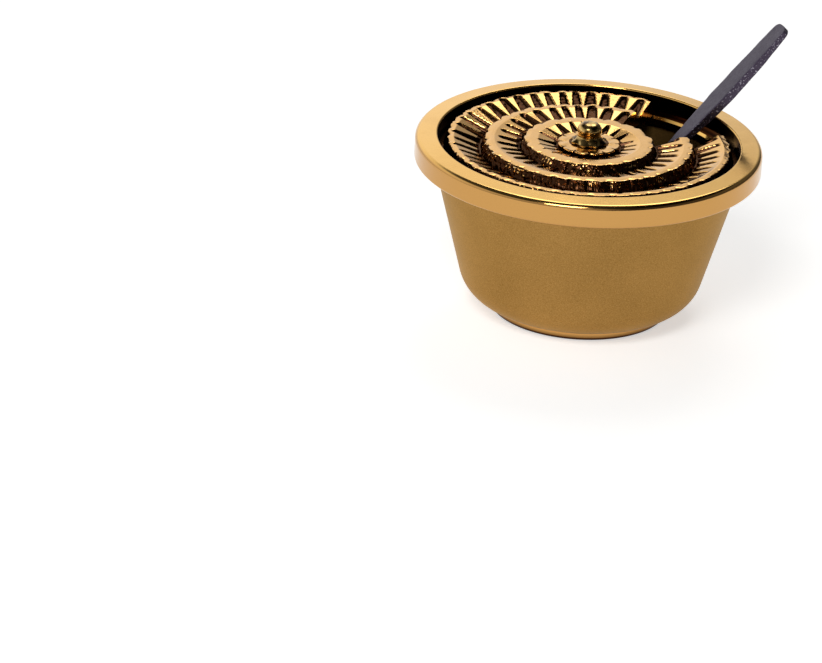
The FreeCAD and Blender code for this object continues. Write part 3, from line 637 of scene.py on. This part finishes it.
# Painted highlights: where the layer falls below -0.3 the colour turns cream.
wear_and_painted_glint = add_node(tree, "ShaderNodeMapRange", {"From Min": -0.3, "From Max": -0.6}, {0: ragged_patina_and_light.outputs[0]})
tone = add_node(tree, "ShaderNodeMix", {"data_type": "RGBA", 7: linear(painted_glint_colour)}, {
    0: wear_and_painted_glint.outputs[0], 6: tone.outputs[2],
})
low_view = add_node(tree, "ShaderNodeMix", {
    "data_type": "RGBA", 6: linear("#FFFFFF"), 7: linear(low_view_colour),
}, {0: dark.outputs[0]})
gloss = add_node(tree, "ShaderNodeMapRange", {"To Min": 0.14, "To Max": 0.2}, {0: dark.outputs[0]})
pitted = add_node(tree, "ShaderNodeBump", {"Strength": 0.15, "Distance": 0.2 * mm}, {
    "Height": grit.outputs[0],
})
tree.links.new(tone.outputs[2], shader.inputs["Base Color"])
tree.links.new(low_view.outputs[2], shader.inputs["Specular Tint"])
tree.links.new(gloss.outputs[0], shader.inputs["Roughness"])
tree.links.new(pitted.outputs[0], shader.inputs["Normal"])

plate_flange, _, outer_crest_level = span("lid_plate")
middle_foot, plate_seat, middle_crest_level = span("middle_tier")
inner_foot, middle_seat, inner_crest_level = span("inner_tier")
boss_radius, boss_seat, boss_top = span("finial_boss")
tier_draft, tier_gap, moat_width, flange_height = 0.8, 0.3, 2.4, 1.2
outer_crest = mouth_radius - moat_width
lid_casting(
    "outer_tier_cast", "lid_plate", base=ledge_level, seat=plate_seat, step=middle_foot + tier_gap,
    inner_level=ledge_level + 2.4, band=outer_crest - 2.4, crest=outer_crest,
    crest_level=outer_crest_level, foot=outer_crest + tier_draft,
    count=50, flute=(1.75, 1.15, 0.95, 0.45), plain=(2.4, 0.85, 1.2), columns=1180,
    flange=(plate_flange, ledge_level + flange_height), opening=inner_foot,
)

# Lid, middle tier: the same casting work, clamped in the outer tier's seat, with the
# same wedge left open.
middle_crest = middle_foot - tier_draft
lid_casting(
    "middle_tier_cast", "middle_tier", base=plate_seat, seat=middle_seat, step=inner_foot + tier_gap,
    inner_level=ledge_level + 3.8, band=middle_crest - 3.4, crest=middle_crest,
    crest_level=middle_crest_level, foot=middle_foot,
    count=36, flute=(1.55, 1.3, 0.95, 0.55), plain=(3.9, -0.3, 2.2), columns=1080,
    opening=inner_foot,
)

# Lid, inner tier: a whole disc of the same casting work, clamped in the middle tier's
# seat under the boss.
inner_crest = inner_foot - tier_draft
lid_casting(
    "inner_tier_cast", "inner_tier", base=middle_seat, seat=boss_seat, step=boss_radius + tier_gap,
    inner_level=ledge_level + 4.1, band=inner_crest - 4.6, crest=inner_crest,
    crest_level=inner_crest_level, foot=inner_foot,
    count=22, flute=(1.15, 0.6, 0.8, 0.5), plain=(4.7, 0.75, 0.2), columns=900,
)

# Boss: a small cast brass disc with a lobed edge, polished on top and dark in its
# notches, which carries the finial.
boss_lobes, lobe_depth = 12, 0.45
boss_edge = 0.4
boss_turn = np.linspace(0, math.pi / 2, 7)
boss_outline = np.vstack([
    [[hole_radius, boss_seat], [hole_radius, boss_top]],
    run([3.0, boss_top], [boss_radius - boss_edge, boss_top], 26),
    np.stack([
        boss_radius - boss_edge + boss_edge * np.sin(boss_turn),
        boss_top - boss_edge + boss_edge * np.cos(boss_turn),
    ], -1),
    run([boss_radius, boss_top - boss_edge - 0.1], [boss_radius, boss_seat], 8, True),
])
boss_angle = np.linspace(0, 2 * math.pi, 540, endpoint=False)
boss_r = boss_outline[:, 0, None] + 0 * boss_angle
boss_z = boss_outline[:, 1, None] + 0 * boss_angle
lobe_off = (boss_angle * boss_lobes / (2 * math.pi)) % 1 - 0.5
outward = smooth(boss_radius - 3, boss_radius, boss_r)
boss_r = boss_r - lobe_depth * np.abs(2 * lobe_off) ** 2.4 * outward
boss_points = np.stack([boss_r * np.cos(boss_angle), boss_r * np.sin(boss_angle), boss_z], -1)
wobble_size, wobble_seed = 3.0, 5
on_top = boss_outline[:, 1, None] > boss_top - 0.01
wobble = 0.06 * unevenness(boss_points, wobble_size, wobble_seed) * on_top
boss_points[..., 2] += wobble - 0.05 * on_top
boss_drop = boss_top - boss_outline[:, 1, None] + 0 * boss_angle
knob_radius, _, knob_top = span("finial_knob")
# Darker round the finial's foot.
boss_foot_dark = 1 - smooth(knob_radius - 0.3, knob_radius + 1.0, boss_outline[:, 0, None])
near_edge = smooth(boss_radius - 2.2, boss_radius - 0.6, boss_outline[:, 0, None])
boss_notch = smooth(0.75, 0.97, np.abs(2 * lobe_off)) * near_edge
boss_dark = np.maximum(np.maximum(smooth(0.35, 0.7, boss_drop), boss_foot_dark), boss_notch)
boss_piece = make_piece(
    "boss_cast", boss_points, ring_faces(*boss_points.shape[:2]), "lid",
    antiqued_brass, patina_and_painted_light=boss_dark,
)
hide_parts("finial_boss")

# Finial: a small cast brass knob, a bud on a flared base with hollowed facets, screwed
# down on the stud. It is buffed bright, with clouds of old lacquer left on it.
bud_radius, neck_radius = 3.6, 3.4
bud_fullness = 0.65  # power of the cosine: 1 is a ball, less is fuller at its shoulders
flare_height, bud_height = 2.2, 4.6
buffed_colour, clouded_colour = "#F4CC80", "#4A3212"
cloud_width = 2.5  # mm
bright_brass, tree, shader = new_finish("buffed_cast_brass", {
    "Metallic": 1.0, "Roughness": 0.18,
})
place = add_node(tree, "ShaderNodeTexCoord")
clouds = add_node(tree, "ShaderNodeTexNoise", {"Scale": 1 / (cloud_width * mm), "Detail": 2}, {
    "Vector": place.outputs["Object"],
})
tone = add_node(tree, "ShaderNodeMix", {
    "data_type": "RGBA", 6: linear(buffed_colour), 7: linear(clouded_colour),
}, {0: add_node(tree, "ShaderNodeMapRange", {"From Min": 0.4, "From Max": 0.62}, {
    0: clouds.outputs[0],
}).outputs[0]})
tree.links.new(tone.outputs[2], shader.inputs["Base Color"])
flare_t = np.linspace(0, 1, 26)
flare_rim = 0.6
flare = np.stack([
    neck_radius + (knob_radius - neck_radius) * (1 - flare_t) ** 1.6,
    boss_top + flare_rim + (flare_height - flare_rim) * flare_t,
], -1)
bud_level = knob_top - bud_height / 2
bud_turn = np.linspace(-0.5, math.pi / 2, 36)
bud = np.stack([
    bud_radius * np.abs(np.cos(bud_turn)) ** bud_fullness,
    bud_level + bud_height / 2 * np.sin(bud_turn),
], -1)
socket_radius, socket_depth = 2.05, 3.2
knob_outline = np.vstack([
    [[0, boss_top + socket_depth], [socket_radius, boss_top + socket_depth]],
    [[socket_radius, boss_top]],
    [[knob_radius - 0.2, boss_top], [knob_radius, boss_top + 0.2]],
    flare, bud[:-1], [[0, knob_top]],
])
knob_angle = np.linspace(0, 2 * math.pi, 256, endpoint=False)
knob_points = carried_round(knob_outline, 256)
facets, facet_depth, socket_rows = 8, 0.13, 3
on_flare = knob_outline[:, 1, None] < boss_top + flare_height
share = smooth(neck_radius, knob_radius, knob_outline[:, 0, None]) * on_flare
pressed = 1 - facet_depth * share * np.abs(np.cos(facets / 2 * knob_angle)) ** 1.5
pressed = np.where(np.arange(len(knob_outline))[:, None] < socket_rows, 1, pressed)
knob_points[..., :2] *= pressed[..., None]
knob_piece = make_piece(
    "finial_cast", knob_points, capped_faces(*knob_points.shape[:2]), "lid", bright_brass
)
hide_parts("finial_knob")

# Stud, washer and nut: machined brass. The stud is screwed into the finial, and the nut
# clamps the lid's castings against it from below. Fine turning rings dull their shine.
turned_light, turned_deep = "#D9B36A", "#A9833F"
ring_pitch = 0.9  # mm; real rings are 0.2 mm, drawn coarser so that they show
plain_brass, tree, shader = new_finish("machined_brass", {"Metallic": 1.0, "Roughness": 0.28})
place = add_node(tree, "ShaderNodeTexCoord")
tool_marks = add_node(tree, "ShaderNodeTexWave", {
    "wave_type": "RINGS", "rings_direction": "Z", "Scale": 1 / (ring_pitch * mm), "Distortion": 1.0,
}, {"Vector": place.outputs["Object"]})
tone = add_node(tree, "ShaderNodeMix", {
    "data_type": "RGBA", 6: linear(turned_light), 7: linear(turned_deep),
}, {0: tool_marks.outputs[0]})
tree.links.new(tone.outputs[2], shader.inputs["Base Color"])

stud_radius, stud_bottom, stud_top = span("finial_stud")
thread_pitch, thread_depth, stud_point = 0.7, 0.3, 1.5
stud_angle = np.linspace(0, 2 * math.pi, 48, endpoint=False)
stud_level = np.arange(stud_bottom + 0.4, stud_top - 0.3, thread_pitch / 8)[:, None]
phase = (stud_level / thread_pitch + stud_angle / (2 * math.pi)) % 1
stud_r = stud_radius - thread_depth * np.abs(2 * phase - 1)
stud_body = np.stack([
    stud_r * np.cos(stud_angle), stud_r * np.sin(stud_angle), stud_level + 0 * stud_angle,
], -1)
ends = carried_round(np.array([
    [0, stud_bottom], [stud_point, stud_bottom], [stud_point, stud_top], [0, stud_top],
]), 48)
stud_points = np.concatenate([ends[:2], stud_body, ends[2:]])
stud_piece = make_piece(
    "stud_threaded", stud_points, capped_faces(*stud_points.shape[:2]), "lid", plain_brass
)
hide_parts("finial_stud")

washer_radius, washer_bottom, washer_top = span("stud_washer")
washer_outline = rounded_outline([
    (hole_radius, washer_bottom, 0.1), (washer_radius, washer_bottom, 0.15),
    (washer_radius, washer_top, 0.15), (hole_radius, washer_top, 0.1),
])
washer_points = carried_round(washer_outline, 96)
washer_piece = make_piece(
    "washer_flat", washer_points, ring_faces(*washer_points.shape[:2]), "lid", plain_brass
)
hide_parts("stud_washer")

_, nut_bottom, nut_top = span("stud_nut")
nut_half, nut_corner, nut_face, nut_bore = 3.5, 4.2, 3.3, 2.05
nut_outline = np.array([
    [nut_bore + 0.3, nut_bottom], [nut_face, nut_bottom], [nut_corner, nut_bottom + 0.5],
    [nut_corner, nut_top - 0.5], [nut_face, nut_top], [nut_bore + 0.3, nut_top],
    [nut_bore, nut_top - 0.3], [nut_bore, nut_bottom + 0.3],
])
nut_points = carried_round(nut_outline, 192)
nut_angle = np.linspace(0, 2 * math.pi, 192, endpoint=False) - math.radians(15)
flat = nut_half / np.cos((nut_angle % (math.pi / 3)) - math.pi / 6)
nut_r = np.minimum(nut_outline[:, 0, None], flat)
nut_points[..., :2] *= (nut_r / nut_outline[:, 0, None])[..., None]
nut_piece = make_piece(
    "nut_hexagon", nut_points, ring_faces(*nut_points.shape[:2]), "lid", plain_brass
)
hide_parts("stud_nut")

# Spoon's bar: forged steel with softened edges, flat on top and swollen below in one
# long arc, riveted to the dish's tongue. It leans on the mouth's edge.
spoon_bearing, spoon_slope, contact_bearing = (math.radians(value) for value in (25, 45, 34.6))
rest_gap = 0.45
bar_length, bar_thickness, tip_round = 79, 1.9, 1.9
half_width_places = [0, 28, 50, 70, bar_length]
half_widths = [1.8, 2.1, 3.5, 3.3, 2.95]
belly_start, belly = 30, 1.3
dish_length, dish_width, dish_depth, dish_wall = 24, 15, 3.6, 0.9
along_bar = np.array([
    math.cos(spoon_slope) * math.cos(spoon_bearing),
    math.cos(spoon_slope) * math.sin(spoon_bearing),
    math.sin(spoon_slope),
])
off_bar = np.array([
    -math.sin(spoon_slope) * math.cos(spoon_bearing),
    -math.sin(spoon_slope) * math.sin(spoon_bearing),
    math.cos(spoon_slope),
])
across_bar = np.cross(off_bar, along_bar)
dish_reach = math.hypot(
    dish_length / 2 * math.sin(spoon_slope), dish_depth * math.cos(spoon_slope)
)
bar_root = dish_length / 2 - dish_wall / 2
belly_half = (bar_length - belly_start) / 2
belly_radius = (belly_half ** 2 + belly ** 2) / (2 * belly)


def belly_depth(reach):
    """Depth of the underside's arc x mm from the bar's root: sqrt(r^2 - (x - m)^2) - r + h.

    The arc has the radius r and is deepest, by h, at m.
    """
    aside = np.minimum((reach - belly_start - belly_half) ** 2, belly_half ** 2)
    return np.clip(np.sqrt(belly_radius ** 2 - aside) - belly_radius + belly, 0, None)


mouth_rise = mouth_top - cavity_level - rest_gap - dish_reach
contact_reach = mouth_rise / math.sin(spoon_slope) - bar_root
contact = off_bar * (rest_gap + belly_depth(contact_reach)) + [
    mouth_radius * math.cos(contact_bearing), mouth_radius * math.sin(contact_bearing), mouth_top,
]
dish_rise = contact[2] - cavity_level - rest_gap - dish_reach
dish_middle = contact - along_bar * dish_rise / math.sin(spoon_slope)

# Tarnished steel: a grey-violet film on the broad face, coloured darker on the narrow
# sides, with pale specks there.
film_light, film_deep, edge_colour, pale_speck_colour = "#84808A", "#4E4954", "#4A4152", "#BDB8C6"
film_size, speck_size = 3, 0.5  # mm
dark_steel, tree, shader = new_finish("tarnished_steel", {"Metallic": 0.85, "Roughness": 0.42})
place = add_node(tree, "ShaderNodeTexCoord")
film = add_node(tree, "ShaderNodeTexNoise", {
    "Scale": 1 / (film_size * mm), "Detail": 5, "Roughness": 0.8,
}, {"Vector": place.outputs["Object"]})
specks = add_node(tree, "ShaderNodeTexNoise", {"Scale": 1 / (speck_size * mm), "Detail": 3}, {
    "Vector": place.outputs["Object"],
})
edge_layer = add_node(tree, "ShaderNodeAttribute", {"attribute_name": "patina_and_painted_light"})
shade = add_node(tree, "ShaderNodeMath", {"operation": "MULTIPLY_ADD", 1: 0.9, 2: -0.2}, {
    0: specks.outputs[0],
})
edge_dark = add_node(tree, "ShaderNodeMath", {"operation": "ADD", "use_clamp": True}, {
    0: edge_layer.outputs["Fac"], 1: shade.outputs[0],
})
face_tone = add_node(tree, "ShaderNodeMix", {
    "data_type": "RGBA", 6: linear(film_light), 7: linear(film_deep),
}, {0: film.outputs[0]})
tone = add_node(tree, "ShaderNodeMix", {"data_type": "RGBA", 7: linear(edge_colour)}, {
    0: edge_dark.outputs[0], 6: face_tone.outputs[2],
})
pale_speck = add_node(tree, "ShaderNodeMapRange", {"From Min": 0.6, "From Max": 0.68}, {0: specks.outputs[0]})
pale_speck = add_node(tree, "ShaderNodeMath", {"operation": "MULTIPLY"}, {
    0: pale_speck.outputs[0], 1: edge_layer.outputs["Fac"],
})
tone = add_node(tree, "ShaderNodeMix", {"data_type": "RGBA", 7: linear(pale_speck_colour)}, {
    0: pale_speck.outputs[0], 6: tone.outputs[2],
})
scale = add_node(tree, "ShaderNodeBump", {"Strength": 0.5, "Distance": 0.2 * mm}, {
    "Height": specks.outputs[0],
})
tree.links.new(tone.outputs[2], shader.inputs["Base Color"])
tree.links.new(scale.outputs[0], shader.inputs["Normal"])

bar_rows, bar_columns = 150, 72
skin = 0.07  # how far the worn bar lies inside the sharp one
squareness = 0.16  # power of the section's cosine and sine: 0 is a rectangle, 1 an ellipse
distance = np.linspace(0, 1, bar_rows) * (bar_length - tip_round)
tip_turn = np.linspace(0, 0.999, 14)[1:]
bar_place = np.concatenate([
    distance, bar_length - tip_round + tip_round * np.sin(tip_turn * math.pi / 2),
])
bar_half = np.interp(bar_place, half_width_places, half_widths) - skin
past_tip = np.clip(bar_place - (bar_length - tip_round), 0, None)
bar_half = bar_half - tip_round + np.sqrt(np.clip(tip_round ** 2 - past_tip ** 2, 0, None))
bar_low = skin - belly_depth(bar_place)
bar_high = bar_thickness - skin
section = np.linspace(0, 2 * math.pi, bar_columns, endpoint=False) + math.pi / bar_columns
corner_x = np.sign(np.cos(section)) * np.abs(np.cos(section)) ** squareness
corner_y = np.sign(np.sin(section)) * np.abs(np.sin(section)) ** squareness
side = bar_half[:, None] * corner_x
lift = bar_low[:, None] + (bar_high - bar_low)[:, None] * (1 + corner_y) / 2
bar_local = np.stack([bar_root + bar_place[:, None] + 0 * side, side, lift], -1)
cap_low, cap_high = [
    np.tile([[end, 0, bar_thickness / 2]], (bar_columns, 1))[None]
    for end in (bar_root, bar_root + bar_length - skin)
]
bar_local = np.concatenate([cap_low, bar_local, cap_high])
blow_size, pit_size = 3.5, 1.2  # mm across the marks of hammering
hammered = 0.05 * unevenness(bar_local, blow_size, 21) + 0.02 * unevenness(bar_local, pit_size, 22)
bar_local[1:-1, :, 1:] += hammered[1:-1, :, None] * 0.8


def spoon_place(local):
    """Local x runs up the bar, y across it and z off its broad face."""
    up_bar, across = local[..., 0, None] * along_bar, local[..., 1, None] * across_bar
    return dish_middle + up_bar + across + local[..., 2, None] * off_bar


on_narrow_side = smooth(0.80, 0.98, np.abs(corner_x)) * (1 - smooth(0.9, 1.0, np.abs(corner_y)))
bar_piece = make_piece(
    "spoon_bar", spoon_place(bar_local), capped_faces(*bar_local.shape[:2]), "spoon",
    dark_steel, patina_and_painted_light=on_narrow_side + 0 * bar_local[..., 0],
)
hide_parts("spoon_handle")

# Spoon's dish: a thin oval dished from the same steel in sheet, with a tongue that runs
# up under the bar and is riveted to it.
dish_turn = np.linspace(0, math.pi / 2, 30)
outer = np.stack([np.sin(dish_turn), -np.cos(dish_turn)], -1)
dish_angle = np.linspace(0, 2 * math.pi, 128, endpoint=False)


def half_ellipsoid(length, width, depth):
    """Lower half ellipsoid: x = a s cos b, y = w s sin b, z = -d c for s, c of one angle."""
    return np.stack([
        length / 2 * outer[:, 0, None] * np.cos(dish_angle),
        width / 2 * outer[:, 0, None] * np.sin(dish_angle),
        depth * outer[:, 1, None] + 0 * dish_angle,
    ], -1)


dish_outer = half_ellipsoid(dish_length, dish_width, dish_depth)
dish_inner = half_ellipsoid(
    dish_length - 2 * dish_wall, dish_width - 2 * dish_wall, dish_depth - dish_wall
)
dish_local = np.concatenate([dish_outer, dish_inner[::-1]])
dish_piece = make_piece(
    "spoon_dish", spoon_place(dish_local), capped_faces(*dish_local.shape[:2]), "spoon",
    dark_steel,
)
tongue_length, tongue_half = 7.0, half_widths[0] - 0.6
tongue_path = np.linspace(dish_length / 2 - dish_wall, dish_length / 2 + tongue_length, 24)
tongue_side = np.array([-1, -1, 1, 1]) * tongue_half
tongue_lift = np.array([-dish_wall, -0.02, -0.02, -dish_wall])
tongue_local = np.stack(np.broadcast_arrays(tongue_path[:, None], tongue_side, tongue_lift), -1)
tongue_ends = [np.tile(np.mean(tongue_local[end], axis=0), (4, 1))[None] for end in (0, -1)]
tongue_local = np.concatenate([tongue_ends[0], tongue_local, tongue_ends[1]])
make_piece(
    "spoon_tongue", spoon_place(tongue_local), capped_faces(*tongue_local.shape[:2]), "spoon",
    dark_steel,
)
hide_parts("spoon_bowl")
